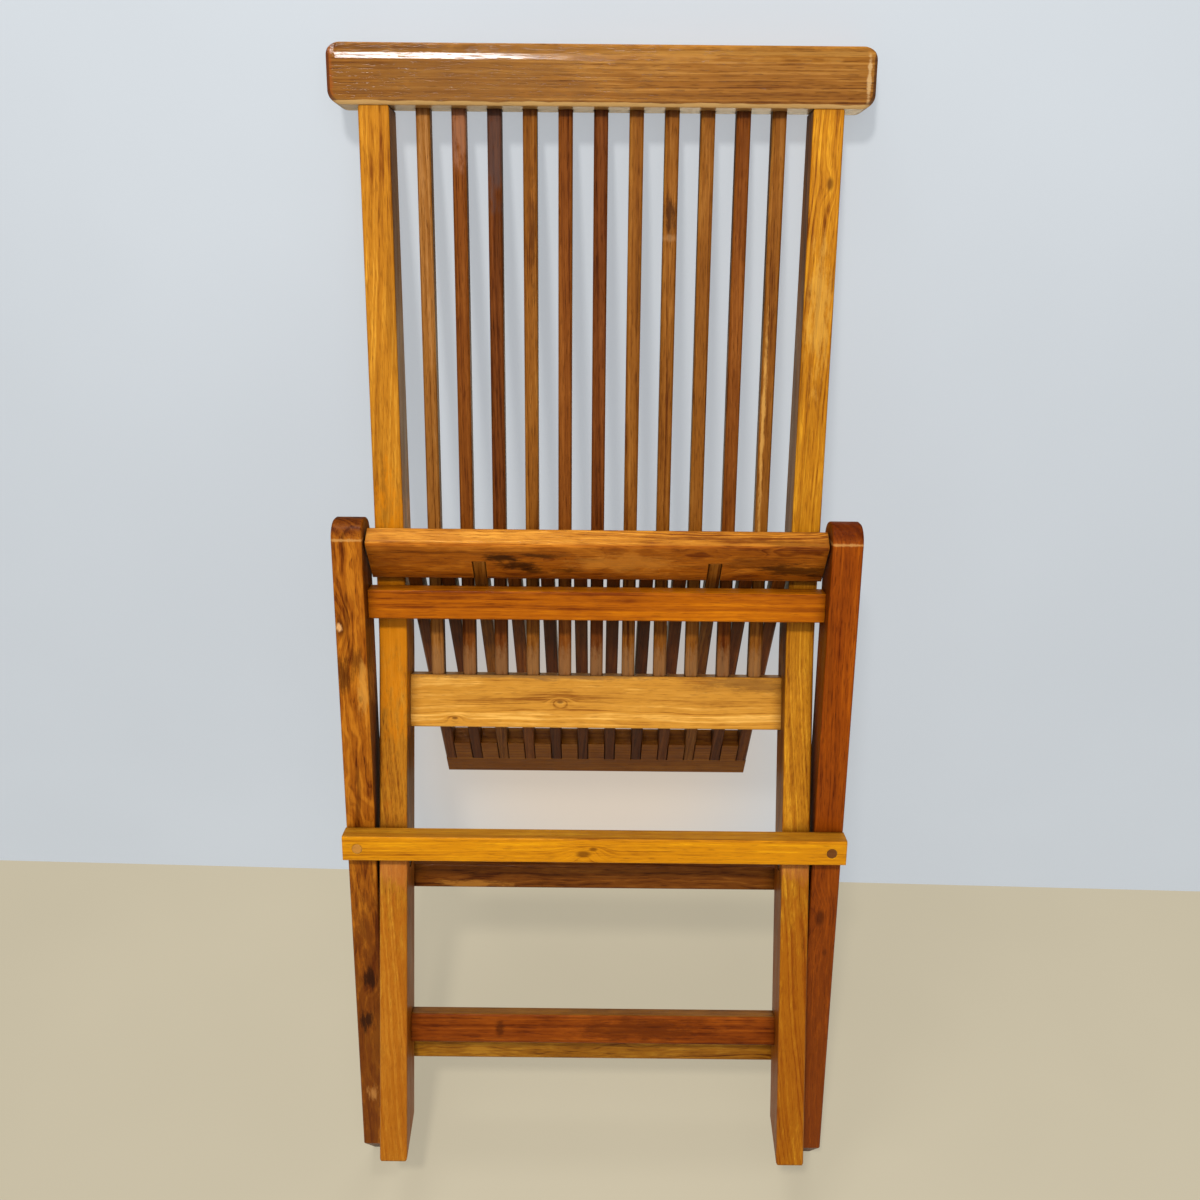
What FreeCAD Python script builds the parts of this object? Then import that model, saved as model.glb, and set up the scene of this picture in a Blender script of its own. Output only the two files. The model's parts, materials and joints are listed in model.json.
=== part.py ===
import FreeCAD, Part
import math
import os
import Sketcher
from FreeCAD import Placement, Rotation, Vector

# A folding teak side chair, folded and leaning back.
# X runs across the chair, Y to the back and Z up. Every piece is drawn in the
# frame of the member that carries it and is then leaned into place.
# The back frame, the leg frame and the seat are the three parts that move.

# Millimetres and degrees.
SIZES = {
    # How the folded chair stands.
    "rest_lean_angle": 30.6,
    "rest_spread_angle": 12.54,
    "rest_seat_angle": 51.9,
    "fold_angle": 62.2,
    # Stiles of the back frame, sawn with one bend just above the seat.
    "back_width": 403.0,
    "stile_width": 26.0,
    "stile_depth": 44.0,
    "stile_top_depth": 34.0,
    "lower_length": 498.5,
    "upper_length": 460.0,
    "bend_angle": 11.4,
    "bend_round": 260.0,
    # Top rail.
    "crest_length": 451.0,
    "crest_height": 48.0,
    "crest_depth": 38.0,
    "crest_overhang": 4.0,
    "crest_bevel_height": 10.0,
    "crest_bevel_depth": 6.0,
    "crest_end_round": 11.0,
    "crest_ease": 3.0,
    # Back slats, let into the crest and the lower back rail.
    "back_slat_count": 11.0,
    "slat_pitch": 30.0,
    "slat_width": 12.0,
    "back_slat_depth": 15.0,
    "back_slat_setback": 15.0,
    "slat_housing": 10.0,
    # Rails of the back frame, by the height of their lower edge.
    "lower_rail_from": 413.5,
    "lower_rail_height": 50.0,
    "lower_rail_setback": 20.0,
    "front_stretcher_from": 105.5,
    "front_stretcher_height": 28.0,
    "front_stretcher_setback": 24.0,
    "stretcher_depth": 18.0,
    # Legs, square in section with a round top.
    "pivot_height": 286.5,
    "side_gap": 2.5,
    "leg_width": 27.0,
    "leg_depth": 40.0,
    "leg_below": 310.5,
    "leg_above_hinge": 23.0,
    "leg_top_round": 17.0,
    # Rails of the leg frame.
    "upper_rail_below_hinge": 41.6,
    "upper_rail_height": 26.8,
    "upper_rail_depth": 20.0,
    "upper_rail_setback": 16.0,
    "rear_stretcher_below": 216.0,
    "rear_stretcher_height": 28.0,
    # Bars pegged on the front and back of the legs, on both sides of the pivot.
    "bar_height": 24.5,
    "bar_depth": 20.0,
    "bar_from_pivot": 18.0,
    "peg_diameter": 9.4,
    # Seat: slats on edge between a front and a rear rail.
    "seat_hinge_height": 308.0,
    "seat_slat_count": 12.0,
    "seat_thickness": 20.0,
    "seat_front_edge": 12.0,
    "seat_front_rail_width": 36.0,
    "seat_front_rail_bevel": 12.0,
    "seat_side_gap": 1.5,
    "seat_rear_rail_at": 341.0,
    "seat_rear_rail_width": 67.0,
    "seat_slat_lap": 35.0,
    "seat_tenon_length": 12.0,
    "seat_tenon_height": 10.0,
    # Joinery and hardware.
    "tenon_length": 15.0,
    "tenon_shoulder": 5.0,
    "tenon_width": 14.0,
    "glue_gap": 0.1,
    "running_gap": 0.08,
    "pin_diameter": 8.0,
    "pin_in_leg": 19.0,
    "pin_in_seat": 24.0,
    "recess_diameter": 17.0,
    "recess_depth": 5.0,
    "bolt_head_diameter": 15.0,
    "bolt_head_height": 4.0,
    "hex_key_size": 5.0,
    "washer_diameter": 21.0,
    # Rounding of the edges.
    "edge_ease": 2.0,
    "slat_ease": 1.5,
    "seat_edge_round": 4.0,
}

BEARERS = (3, 10)
SIDES = {"left": -1, "right": 1}
ACROSS = Vector(1, 0, 0)


def opened_lean():
    """Lean of the stiles when the open chair stands level on all four feet."""
    spread = SIZES["rest_spread_angle"] + SIZES["fold_angle"]
    pivot_depth = SIZES["stile_depth"] / 2
    reach = math.hypot(SIZES["leg_below"], SIZES["leg_depth"] / 2)
    turn = math.radians(spread) - math.atan2(SIZES["leg_depth"] / 2, SIZES["leg_below"])
    rise = SIZES["pivot_height"] - reach * math.cos(turn)
    run = reach * math.sin(turn) + pivot_depth
    return math.degrees(math.atan2(rise, run))


DERIVED = {
    "stile_foot_angle": opened_lean(),
    "leg_foot_angle": SIZES["rest_spread_angle"] + SIZES["fold_angle"] - opened_lean(),
}

doc = FreeCAD.newDocument("FoldingChair")
sheet = doc.addObject("Spreadsheet::Sheet", "Sizes")
for row, (alias, value) in enumerate({**SIZES, **DERIVED}.items(), start=1):
    sheet.set(f"A{row}", alias)
    sheet.set(f"B{row}", str(round(value, 4)))
    sheet.setAlias(f"B{row}", alias)
doc.recompute()


def ref(expression):
    """Prefix every size in an expression with the sheet's name."""
    words = []
    word = ""
    for letter in expression + " ":
        if letter.isalnum() or letter == "_":
            word += letter
            continue
        words.append(f"Sizes.{word}" if word in SIZES or word in DERIVED else word)
        words.append(letter)
        word = ""
    return "".join(words).strip()


# Frames of the three moving parts.

def turned(angle):
    return Placement(Vector(), Rotation(ACROSS, angle))


def moved(x=0.0, y=0.0, z=0.0):
    return Placement(Vector(x, y, z), Rotation())


BACK_FRAME = turned(-SIZES["rest_lean_angle"])
UPPER_FRAME = BACK_FRAME * moved(z=SIZES["lower_length"]) * turned(SIZES["bend_angle"])
PIVOT = moved(y=SIZES["stile_depth"] / 2, z=SIZES["pivot_height"])
LEG_FRAME = BACK_FRAME * PIVOT * turned(SIZES["rest_spread_angle"])
SEAT_HINGE = moved(z=SIZES["seat_hinge_height"])
SEAT_FRAME = LEG_FRAME * SEAT_HINGE * turned(-SIZES["rest_seat_angle"])

STILE_INNER = SIZES["back_width"] / 2 - SIZES["stile_width"]
LEG_INNER = SIZES["back_width"] / 2 + SIZES["side_gap"]
SEAT_SPAN = "(back_width + 2 * side_gap - 2 * seat_side_gap)"
LEG_SPAN = "(back_width + 2 * side_gap)"
STILE_SPAN = "(back_width - 2 * stile_width)"

pieces = {"back_frame": [], "leg_frame": [], "seat": []}


# Sketches and features.

def new_body(label, group, placement):
    body = doc.addObject("PartDesign::Body", label)
    body.Label = label
    body.Placement = placement
    pieces[group].append(body)
    return body


def new_sketch(body, role, name, lift=None):
    """A sketch on one of the body's own planes, lifted along the plane's normal."""
    sketch = body.newObject("Sketcher::SketchObject", name)
    plane = next(item for item in body.Origin.OriginFeatures if item.Role == role)
    sketch.AttachmentSupport = [(plane, "")]
    sketch.MapMode = "FlatFace"
    if lift:
        sketch.setExpression("AttachmentOffset.Base.z", ref(lift))
    return sketch


def bind(sketch, kind, geometry, point, expression):
    """Hold one coordinate of a point at a size from the sheet."""
    text = ref(expression)
    value = float(sketch.evalExpression(text))
    index = sketch.addConstraint(Sketcher.Constraint(kind, -1, 1, geometry, point, value))
    sketch.setExpression(f"Constraints[{index}]", text)


def outline(sketch, corners):
    """A closed outline through corners, each given as two expressions."""
    points = []
    for across, up in corners:
        values = [float(sketch.evalExpression(ref(text))) for text in (across, up)]
        points.append(Vector(values[0], values[1], 0))
    count = len(points)
    for index in range(count):
        sketch.addGeometry(Part.LineSegment(points[index], points[(index + 1) % count]), False)
    for index in range(count):
        sketch.addConstraint(Sketcher.Constraint("Coincident", index, 2, (index + 1) % count, 1))
    for index, (across, up) in enumerate(corners):
        bind(sketch, "DistanceX", index, 1, across)
        bind(sketch, "DistanceY", index, 1, up)


def rectangle(sketch, left, right, bottom, top):
    outline(sketch, [(left, bottom), (right, bottom), (right, top), (left, top)])


def circle(sketch, across, up, diameter):
    values = [float(sketch.evalExpression(ref(text))) for text in (across, up, diameter)]
    centre = Vector(values[0], values[1], 0)
    ring = sketch.addGeometry(Part.Circle(centre, Vector(0, 0, 1), values[2] / 2), False)
    bind(sketch, "DistanceX", ring, 3, across)
    bind(sketch, "DistanceY", ring, 3, up)
    index = sketch.addConstraint(Sketcher.Constraint("Diameter", ring, values[2]))
    sketch.setExpression(f"Constraints[{index}]", ref(diameter))


def pad(body, sketch, length, symmetric=False, reverse=False):
    feature = body.newObject("PartDesign::Pad", "Pad")
    feature.Profile = sketch
    feature.SideType = "Symmetric" if symmetric else "One side"
    feature.Reversed = reverse
    feature.setExpression("Length", ref(length))
    doc.recompute()
    return feature


def pocket(body, sketch, length, symmetric=False, reverse=False):
    """A pocket that has to take material away."""
    before = body.Shape.Volume
    feature = body.newObject("PartDesign::Pocket", "Pocket")
    feature.Profile = sketch
    feature.SideType = "Symmetric" if symmetric else "One side"
    feature.Reversed = reverse
    feature.setExpression("Length", ref(length))
    doc.recompute()
    if body.Shape.Volume >= before:
        raise ValueError(f"a pocket in {body.Label} cuts nothing")
    return feature


def repeat_across(body, feature, count, pitch):
    pattern = body.newObject("PartDesign::LinearPattern", "Pattern")
    pattern.Originals = [feature]
    axis = next(item for item in body.Origin.OriginFeatures if item.Role == "X_Axis")
    pattern.Direction = (axis, [""])
    pattern.Mode = "Spacing"
    pattern.setExpression("Occurrences", ref(count))
    pattern.setExpression("Offset", ref(pitch))
    body.Tip = pattern
    doc.recompute()
    return pattern


def dress_edges(body, kind, size_name, wanted, size):
    """Work the edges of the body's last feature that wanted() accepts."""
    base = body.Tip
    names = [f"Edge{i}" for i, edge in enumerate(base.Shape.Edges, start=1) if wanted(edge)]
    feature = body.newObject(f"PartDesign::{kind}", kind)
    feature.Base = (base, names)
    feature.setExpression(size_name, ref(size))
    doc.recompute()


def round_edges(body, wanted, radius):
    dress_edges(body, "Fillet", "Radius", wanted, radius)


def bevel_edges(body, wanted, size):
    dress_edges(body, "Chamfer", "Size", wanted, size)


def runs_along(edge, axis):
    """True for a straight edge along the axis."""
    if not isinstance(edge.Curve, Part.Line):
        return False
    return abs(edge.tangentAt(edge.FirstParameter).dot(axis)) > 0.999


def lies_in_side_face(edge, width):
    """True for an edge in one of the two side faces of a piece padded from x = 0."""
    box = edge.BoundBox
    flat = box.XLength < 0.01
    return flat and (abs(box.XMin) < 0.01 or abs(abs(box.XMin) - width) < 0.01)


def in_upper_frame(depth, height):
    """A point beside the upper stile, as expressions in the lower stile's frame."""
    across = f"({depth}) * cos(bend_angle) - ({height}) * sin(bend_angle)"
    up = f"lower_length + ({height}) * cos(bend_angle) + ({depth}) * sin(bend_angle)"
    return across, up


# Back frame.

LOWER_RAIL_MORTISE = (
    "lower_rail_setback + tenon_shoulder",
    "stile_depth - tenon_shoulder",
    "lower_rail_from + tenon_shoulder",
    "lower_rail_from + lower_rail_height - tenon_shoulder",
)
FRONT_STRETCHER_MORTISE = (
    "front_stretcher_setback + tenon_shoulder",
    "front_stretcher_setback + stretcher_depth - tenon_shoulder",
    "front_stretcher_from + tenon_shoulder",
    "front_stretcher_from + front_stretcher_height - tenon_shoulder",
)


def widened(section):
    """A mortise round a tenon, with the glue's room on every side."""
    left, right, bottom, top = section
    return f"{left} - glue_gap", f"{right} + glue_gap", f"{bottom} - glue_gap", f"{top} + glue_gap"


def mortise(body, section, length, reverse):
    """A mortise in the inner face of a stile or a leg."""
    sketch = new_sketch(body, "YZ_Plane", "Mortise")
    rectangle(sketch, *widened(section))
    pocket(body, sketch, f"{length} + glue_gap", reverse=reverse)


def stile(name, side):
    """A stile: foot cut for the open chair, one sawn bend, a tenon at its top."""
    body = new_body(name, "back_frame", BACK_FRAME * moved(x=side * STILE_INNER))
    sketch = new_sketch(body, "YZ_Plane", "SideOutline")
    outline(sketch, [
        ("0", "0"),
        ("stile_depth", "stile_depth * tan(stile_foot_angle)"),
        ("stile_depth", "lower_length + stile_depth * tan(bend_angle / 2)"),
        in_upper_frame("stile_top_depth", "upper_length"),
        in_upper_frame("0", "upper_length"),
        ("0", "lower_length"),
    ])
    pad(body, sketch, "stile_width", reverse=side < 0)
    bend_height = SIZES["lower_length"]
    round_edges(
        body,
        lambda edge: runs_along(edge, ACROSS) and abs(edge.CenterOfMass.z - bend_height) < 10,
        "bend_round",
    )
    round_edges(body, lambda edge: lies_in_side_face(edge, SIZES["stile_width"]), "edge_ease")

    lift = "(stile_width - tenon_width) / 2"
    sketch = new_sketch(body, "YZ_Plane", "TopTenon", lift if side > 0 else f"-{lift}")
    outline(sketch, [
        in_upper_frame("tenon_shoulder", "upper_length - tenon_shoulder"),
        in_upper_frame("stile_top_depth - tenon_shoulder", "upper_length - tenon_shoulder"),
        in_upper_frame("stile_top_depth - tenon_shoulder", "upper_length + tenon_length"),
        in_upper_frame("tenon_shoulder", "upper_length + tenon_length"),
    ])
    pad(body, sketch, "tenon_width", reverse=side < 0)

    mortise(body, LOWER_RAIL_MORTISE, "tenon_length", side > 0)
    mortise(body, FRONT_STRETCHER_MORTISE, "tenon_length", side > 0)
    sketch = new_sketch(body, "YZ_Plane", "PivotHole")
    circle(sketch, "stile_depth / 2", "pivot_height", "pin_diameter + 2 * running_gap")
    pocket(body, sketch, "stile_width", reverse=side > 0)
    sketch = new_sketch(body, "YZ_Plane", "NutRecess")
    circle(sketch, "stile_depth / 2", "pivot_height", "recess_diameter")
    pocket(body, sketch, "recess_depth", reverse=side > 0)


def cross_rail(name, group, placement, span, section, tenon):
    """A rail with a stub tenon at each end."""
    body = new_body(name, group, placement)
    sketch = new_sketch(body, "YZ_Plane", "Section")
    rectangle(sketch, *section)
    pad(body, sketch, span, symmetric=True)
    round_edges(body, lambda edge: runs_along(edge, ACROSS), "edge_ease")
    sketch = new_sketch(body, "YZ_Plane", "Tenons")
    rectangle(sketch, *tenon)
    pad(body, sketch, f"{span} + 2 * tenon_length", symmetric=True)
    return body


SLAT_TAIL = (
    "((lower_length - lower_rail_from - lower_rail_height"
    " + (back_slat_setback + back_slat_depth / 2) * sin(bend_angle)) / cos(bend_angle) + slat_housing)"
)
SLAT_FRONT = "back_slat_setback"
SLAT_BACK = "(back_slat_setback + back_slat_depth)"
FIRST_BACK_SLAT = "-(back_slat_count - 1) / 2 * slat_pitch"
FIRST_SEAT_SLAT = "-(seat_slat_count - 1) / 2 * slat_pitch"


def lower_back_rail():
    section = (
        "lower_rail_setback",
        "stile_depth",
        "lower_rail_from",
        "lower_rail_from + lower_rail_height",
    )
    body = cross_rail(
        "lower_back_rail", "back_frame", BACK_FRAME, STILE_SPAN, section, LOWER_RAIL_MORTISE
    )
    sketch = new_sketch(body, "YZ_Plane", "SlatMortise", FIRST_BACK_SLAT)
    foot = f"-{SLAT_TAIL} - glue_gap"
    head = f"-{SLAT_TAIL} + 3 * slat_housing"
    outline(sketch, [
        in_upper_frame(f"{SLAT_FRONT} - glue_gap", foot),
        in_upper_frame(f"{SLAT_BACK} + glue_gap", foot),
        in_upper_frame(f"{SLAT_BACK} + glue_gap", head),
        in_upper_frame(f"{SLAT_FRONT} - glue_gap", head),
    ])
    cut = pocket(body, sketch, "slat_width + 2 * glue_gap", symmetric=True)
    repeat_across(body, cut, "back_slat_count", "slat_pitch")


def front_stretcher():
    section = (
        "front_stretcher_setback",
        "front_stretcher_setback + stretcher_depth",
        "front_stretcher_from",
        "front_stretcher_from + front_stretcher_height",
    )
    cross_rail(
        "front_stretcher", "back_frame", BACK_FRAME, STILE_SPAN, section, FRONT_STRETCHER_MORTISE
    )


def crest_rail():
    """The top rail, bevelled along its top and rounded at its ends, over the stiles' tenons."""
    body = new_body("crest_rail", "back_frame", UPPER_FRAME * moved(z=SIZES["upper_length"]))
    sketch = new_sketch(body, "YZ_Plane", "Section")
    rectangle(sketch, "-crest_overhang", "crest_depth - crest_overhang", "0", "crest_height")
    pad(body, sketch, "crest_length", symmetric=True)
    along_depth = Vector(0, 1, 0)
    round_edges(body, lambda edge: runs_along(edge, along_depth), "crest_end_round")
    bevel_edges(body, lambda edge: edge.BoundBox.YLength < 0.01, "crest_ease")
    sketch = new_sketch(body, "YZ_Plane", "TopBevel")
    outline(sketch, [
        ("-crest_overhang", "crest_height - crest_bevel_height"),
        ("-crest_overhang + crest_bevel_depth", "crest_height"),
        ("-crest_overhang", "crest_height + crest_bevel_height"),
        ("-crest_overhang - crest_bevel_depth", "crest_height"),
    ])
    pocket(body, sketch, "2 * crest_length", symmetric=True)

    for side in SIDES.values():
        middle = f"{side} * (back_width - stile_width) / 2"
        sketch = new_sketch(body, "YZ_Plane", "TenonMortise", middle)
        rectangle(
            sketch,
            "tenon_shoulder - glue_gap",
            "stile_top_depth - tenon_shoulder + glue_gap",
            "-tenon_shoulder",
            "tenon_length + glue_gap",
        )
        pocket(body, sketch, "tenon_width + 2 * glue_gap", symmetric=True)
    sketch = new_sketch(body, "YZ_Plane", "SlatMortise", FIRST_BACK_SLAT)
    rectangle(
        sketch,
        f"{SLAT_FRONT} - glue_gap",
        f"{SLAT_BACK} + glue_gap",
        "-slat_housing",
        "slat_housing + glue_gap",
    )
    cut = pocket(body, sketch, "slat_width + 2 * glue_gap", symmetric=True)
    repeat_across(body, cut, "back_slat_count", "slat_pitch")


def back_slat(number):
    """A straight slat, let into the crest above and the lower back rail below."""
    offset = (number - (SIZES["back_slat_count"] + 1) / 2) * SIZES["slat_pitch"]
    body = new_body(f"back_slat_{number:02d}", "back_frame", UPPER_FRAME * moved(x=offset))
    sketch = new_sketch(body, "XY_Plane", "Section", f"-{SLAT_TAIL}")
    rectangle(sketch, "-slat_width / 2", "slat_width / 2", SLAT_FRONT, SLAT_BACK)
    pad(body, sketch, f"{SLAT_TAIL} + upper_length + slat_housing")
    bevel_edges(body, lambda edge: runs_along(edge, Vector(0, 0, 1)), "slat_ease")


# Leg frame.

UPPER_RAIL = (
    "upper_rail_setback - leg_depth / 2",
    "upper_rail_setback - leg_depth / 2 + upper_rail_depth",
    "seat_hinge_height - upper_rail_below_hinge - upper_rail_height",
    "seat_hinge_height - upper_rail_below_hinge",
)
REAR_STRETCHER = (
    "-stretcher_depth / 2",
    "stretcher_depth / 2",
    "-rear_stretcher_below",
    "-rear_stretcher_below + rear_stretcher_height",
)


def tenon_of(section):
    left, right, bottom, top = section
    return (
        f"{left} + tenon_shoulder",
        f"{right} - tenon_shoulder",
        f"{bottom} + tenon_shoulder",
        f"{top} - tenon_shoulder",
    )


BAR_MIDDLE = "(bar_from_pivot + bar_height / 2)"


def leg(name, side):
    """A straight leg with a round top and a foot cut for the open chair."""
    body = new_body(name, "leg_frame", LEG_FRAME * moved(x=side * LEG_INNER))
    sketch = new_sketch(body, "YZ_Plane", "SideOutline")
    outline(sketch, [
        ("-leg_depth / 2", "-leg_below"),
        ("leg_depth / 2", "-leg_below - leg_depth * tan(leg_foot_angle)"),
        ("leg_depth / 2", "seat_hinge_height + leg_above_hinge"),
        ("-leg_depth / 2", "seat_hinge_height + leg_above_hinge"),
    ])
    pad(body, sketch, "leg_width", reverse=side < 0)
    round_edges(body, lambda edge: runs_along(edge, ACROSS) and edge.CenterOfMass.z > 0,
                "leg_top_round")
    round_edges(body, lambda edge: lies_in_side_face(edge, SIZES["leg_width"]), "edge_ease")

    mortise(body, tenon_of(UPPER_RAIL), "tenon_length", side > 0)
    mortise(body, tenon_of(REAR_STRETCHER), "tenon_length", side > 0)
    sketch = new_sketch(body, "YZ_Plane", "PivotHole")
    circle(sketch, "0", "0", "pin_diameter + 2 * glue_gap")
    pocket(body, sketch, "leg_width", reverse=side > 0)
    sketch = new_sketch(body, "YZ_Plane", "HingeHole")
    circle(sketch, "0", "seat_hinge_height", "pin_diameter + 2 * running_gap")
    pocket(body, sketch, "pin_in_leg + running_gap", reverse=side > 0)
    lift = "leg_width - recess_depth"
    sketch = new_sketch(body, "YZ_Plane", "HeadRecess", lift if side > 0 else f"-({lift})")
    circle(sketch, "0", "0", "recess_diameter")
    pocket(body, sketch, "recess_depth + edge_ease", reverse=side > 0)
    for way in (1, -1):
        sketch = new_sketch(body, "XZ_Plane", "PegHole")
        middle = "leg_width / 2" if side > 0 else "-leg_width / 2"
        circle(sketch, middle, f"{way} * {BAR_MIDDLE}", "peg_diameter + 2 * glue_gap")
        pocket(body, sketch, "leg_depth", reverse=way > 0)


def pegged_bar(name, way):
    """A bar across both legs: way 1 above the pivot in front, -1 below it behind."""
    body = new_body(name, "leg_frame", LEG_FRAME)
    sketch = new_sketch(body, "YZ_Plane", "Section")
    near, far = f"{-way} * leg_depth / 2", f"{-way} * (leg_depth / 2 + bar_depth)"
    low, high = f"{way} * bar_from_pivot", f"{way} * (bar_from_pivot + bar_height)"
    rectangle(sketch, near, far, low, high)
    pad(body, sketch, f"{LEG_SPAN} + 2 * leg_width", symmetric=True)
    round_edges(body, lambda edge: runs_along(edge, ACROSS), "edge_ease")
    for side in SIDES.values():
        sketch = new_sketch(body, "XZ_Plane", "PegHole")
        middle = f"{side} * ({LEG_SPAN} / 2 + leg_width / 2)"
        circle(sketch, middle, f"{way} * {BAR_MIDDLE}", "peg_diameter + 2 * glue_gap")
        pocket(body, sketch, "4 * leg_depth", symmetric=True)


def round_rod(name, radius, length, placement):
    """One cylinder along its placement's Z axis, sized by expressions."""
    rod = doc.addObject("Part::Cylinder", name)
    rod.setExpression("Radius", ref(radius))
    rod.setExpression("Height", ref(length))
    rod.Placement = placement
    return rod


def group_of(label, group, parts):
    """Alike solids that share one node."""
    compound = doc.addObject("Part::Compound", label)
    compound.Label = label
    compound.Links = parts
    pieces[group].append(compound)


OUTWARD = {side: Placement(Vector(), Rotation(Vector(0, 1, 0), side * 90)) for side in (-1, 1)}


def bar_pegs(name, way):
    """Two wooden pegs, flush with the bar and run to the middle of the legs."""
    height = SIZES["bar_from_pivot"] + SIZES["bar_height"] / 2
    outside = SIZES["leg_depth"] / 2 + SIZES["bar_depth"]
    rods = []
    for side in SIDES.values():
        middle = side * (LEG_INNER + SIZES["leg_width"] / 2)
        along = LEG_FRAME * moved(middle, -way * outside, way * height)
        along = along * Placement(Vector(), Rotation(ACROSS, way * -90))
        rods.append(round_rod(f"{name}_rod", "peg_diameter / 2", "bar_depth + leg_depth / 2", along))
    group_of(name, "leg_frame", rods)


def pivot_hardware():
    """Bolt, washer and nut of each fold pivot, sunk into leg and stile."""
    bolts, nuts, washers = [], [], []
    for side in SIDES.values():
        at_nut = LEG_FRAME * moved(side * STILE_INNER) * OUTWARD[side]
        head_seat = SIZES["stile_width"] + SIZES["side_gap"] + SIZES["leg_width"] - SIZES["recess_depth"]
        shank = round_rod("shank", "pin_diameter / 2",
                          "stile_width + side_gap + leg_width - recess_depth", at_nut)
        head = round_rod("head", "bolt_head_diameter / 2", "bolt_head_height",
                         at_nut * moved(z=head_seat))
        socket = doc.addObject("Part::Prism", "socket")
        socket.Polygon = 6
        socket.setExpression("Circumradius", ref("hex_key_size / 2 / cos(30)"))
        socket.setExpression("Height", ref("bolt_head_height"))
        socket.Placement = at_nut * moved(z=head_seat + SIZES["bolt_head_height"] / 3)
        bolt = doc.addObject("Part::Fuse", "bolt")
        bolt.Base, bolt.Tool = shank, head
        keyed = doc.addObject("Part::Cut", "keyed_bolt")
        keyed.Base, keyed.Tool = bolt, socket
        bolts.append(keyed)

        body = round_rod("nut_body", "bolt_head_diameter / 2", "bolt_head_height",
                         at_nut * moved(z=SIZES["recess_depth"] - SIZES["bolt_head_height"]))
        bore = round_rod("nut_bore", "pin_diameter / 2 + glue_gap", "recess_depth", at_nut)
        nut = doc.addObject("Part::Cut", "nut")
        nut.Base, nut.Tool = body, bore
        nuts.append(nut)

        at_gap = at_nut * moved(z=SIZES["stile_width"] + SIZES["glue_gap"])
        disc = round_rod("disc", "washer_diameter / 2", "side_gap - 2 * glue_gap", at_gap)
        hole = round_rod("hole", "pin_diameter / 2 + glue_gap", "side_gap", at_gap)
        washer = doc.addObject("Part::Cut", "washer")
        washer.Base, washer.Tool = disc, hole
        washers.append(washer)
    group_of("pivot_bolts", "leg_frame", bolts)
    group_of("pivot_nuts", "leg_frame", nuts)
    group_of("pivot_washers", "leg_frame", washers)


# Seat, with its origin on the hinge axis, Y to the rear and Z to the top.

TOP = "seat_thickness / 2"
UNDER = "-seat_thickness / 2"
FRONT_RAIL_TOP_BACK = "(seat_front_rail_width - seat_front_edge)"
FRONT_RAIL_UNDER_BACK = "(seat_front_rail_width - seat_front_edge + seat_front_rail_bevel)"
TENON_TIP = "(seat_front_rail_width - seat_front_edge - seat_tenon_length)"
TENON_TOP = "(seat_tenon_height / 2)"
LAP_END = "(seat_rear_rail_at + seat_slat_lap)"


def on_bevel(height):
    """Depth of the front rail's sloping back at a height."""
    share = f"(0.5 - ({height}) / seat_thickness)"
    return f"{FRONT_RAIL_TOP_BACK} + {share} * seat_front_rail_bevel"


def seat_slat(number):
    """A slat on edge: tenoned in front, lapped into the underside of the rear rail."""
    offset = (number - (SIZES["seat_slat_count"] + 1) / 2) * SIZES["slat_pitch"]
    body = new_body(f"seat_slat_{number:02d}", "seat", SEAT_FRAME * moved(x=offset))
    sketch = new_sketch(body, "YZ_Plane", "SideOutline")
    if number in BEARERS:
        lower_front = [(TENON_TIP, UNDER)]
    else:
        lower_front = [
            (TENON_TIP, f"-{TENON_TOP}"),
            (on_bevel(f"-{TENON_TOP}"), f"-{TENON_TOP}"),
            (FRONT_RAIL_UNDER_BACK, UNDER),
        ]
    outline(sketch, [
        (FRONT_RAIL_TOP_BACK, TOP),
        (on_bevel(TENON_TOP), TENON_TOP),
        (TENON_TIP, TENON_TOP),
        *lower_front,
        (LAP_END, UNDER),
        (LAP_END, "0"),
        ("seat_rear_rail_at", "0"),
        ("seat_rear_rail_at", TOP),
    ])
    pad(body, sketch, "slat_width", symmetric=True)
    long_edge = SIZES["seat_rear_rail_at"] / 2
    bevel_edges(body, lambda edge: runs_along(edge, Vector(0, 1, 0)) and edge.Length > long_edge,
                "slat_ease")


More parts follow.
